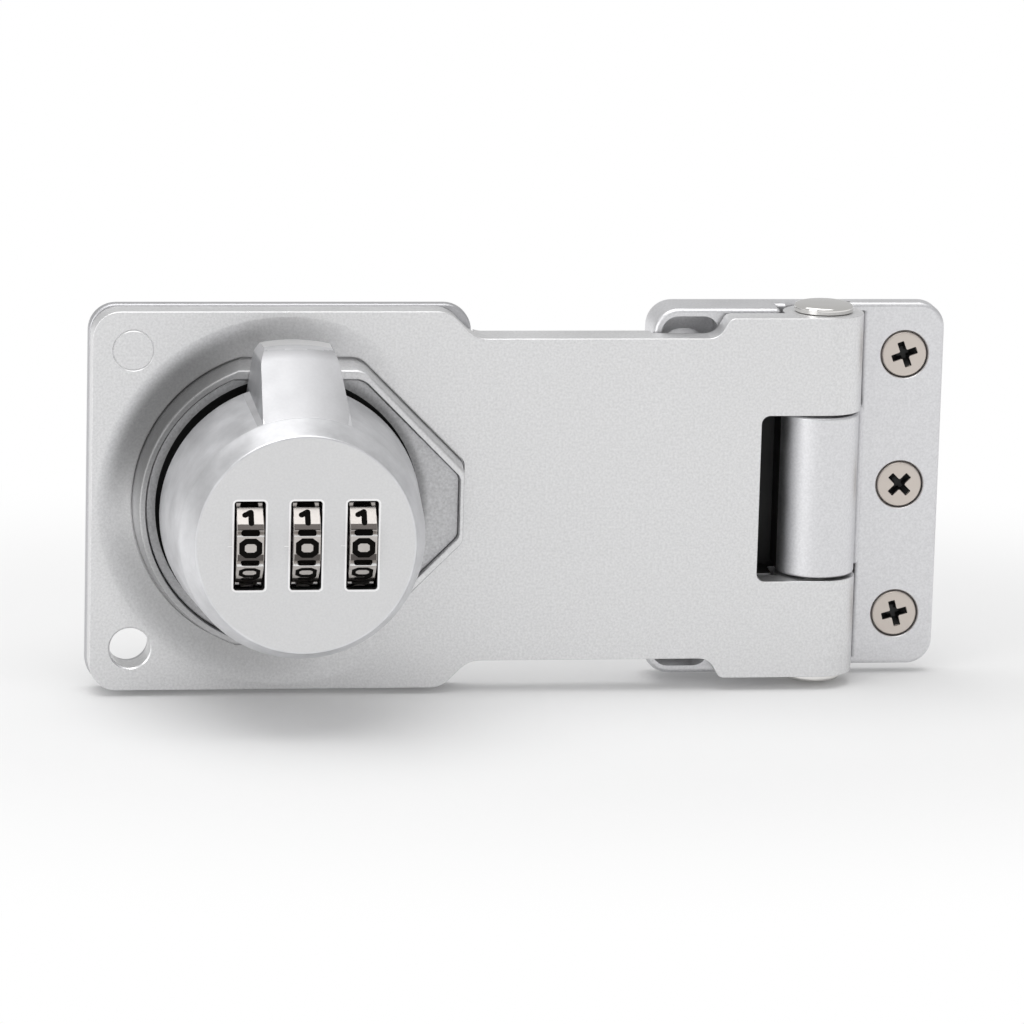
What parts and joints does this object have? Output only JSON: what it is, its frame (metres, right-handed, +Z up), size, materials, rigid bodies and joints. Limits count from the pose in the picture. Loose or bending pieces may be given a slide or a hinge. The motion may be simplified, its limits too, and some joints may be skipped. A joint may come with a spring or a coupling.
{
  "type": "combination cam lock",
  "caption": "Locking hasp: hinged plate with a collar that a lug on a round turn knob traps; number dials in the knob's face free its quarter turn.",
  "frame": {"origin": "on the back of the hinge leaf, straight behind the hinge pin, at mid height", "axes": "+X from the pin towards the screw strip, +Y into the wall, +Z up along the hinge pin"},
  "size_m": [0.1017, 0.0349, 0.0458],
  "materials": {
    "cast_zinc": "satin, fine grained",
    "bright_nickel": "polished",
    "warm_nickel": "satin",
    "steel": "plain",
    "spring_steel": "plain",
    "sleeve_brass": "plain"
  },
  "bodies": {
    "leaf": {"hinge_leaf": "cast_zinc", "hinge_pin": "bright_nickel", "leaf_screw_1": "warm_nickel", "leaf_screw_2": "warm_nickel", "leaf_screw_3": "warm_nickel"},
    "hasp": {"hasp_plate": "cast_zinc", "lock_base": "cast_zinc", "detent_ball": "steel", "detent_spring": "spring_steel"},
    "knob": {"knob_shell": "cast_zinc", "knob_cover": "steel", "cover_screw_1": "steel", "cover_screw_2": "steel", "cover_screw_3": "steel", "retaining_washer": "steel", "retaining_screw": "steel", "dial_spindle": "steel", "click_spring": "spring_steel", "fence_spring": "spring_steel"},
    "fence": {"locking_fence": "steel"},
    "dial_1": {"dial_wheel_1": "bright_nickel", "clutch_sleeve_1": "sleeve_brass"},
    "dial_2": {"dial_wheel_2": "bright_nickel", "clutch_sleeve_2": "sleeve_brass"},
    "dial_3": {"dial_wheel_3": "bright_nickel", "clutch_sleeve_3": "sleeve_brass"}
  },
  "joints": [
    {"name": "hasp_swing", "type": "hinge", "parent": "leaf", "child": "hasp", "pos_m": [0, -0.00615, 0], "axis": [0, 0, 1], "range_deg": [0, 140]},
    {"name": "knob_turn", "type": "hinge", "parent": "hasp", "child": "knob", "pos_m": [-0.06345, -0.0165, 0], "axis": [0, 1, 0], "range_deg": [0, 90], "deforming": ["fence_spring"]},
    {"name": "fence_slide", "type": "slide", "parent": "knob", "child": "fence", "axis": [0, -1, 0], "range_m": [0, 0.0013]},
    {"name": "dial_1_turn", "type": "hinge", "parent": "knob", "child": "dial_1", "pos_m": [-0.0698, -0.02972, 0], "axis": [1, 0, 0], "continuous": true},
    {"name": "dial_2_turn", "type": "hinge", "parent": "knob", "child": "dial_2", "pos_m": [-0.06345, -0.02972, 0], "axis": [1, 0, 0], "continuous": true},
    {"name": "dial_3_turn", "type": "hinge", "parent": "knob", "child": "dial_3", "pos_m": [-0.0571, -0.02972, 0], "axis": [1, 0, 0], "continuous": true}
  ],
  "couplings": [
    {"joint": "fence_slide", "follows": "knob_turn", "m_per_rad": 0.00076394}
  ]
}
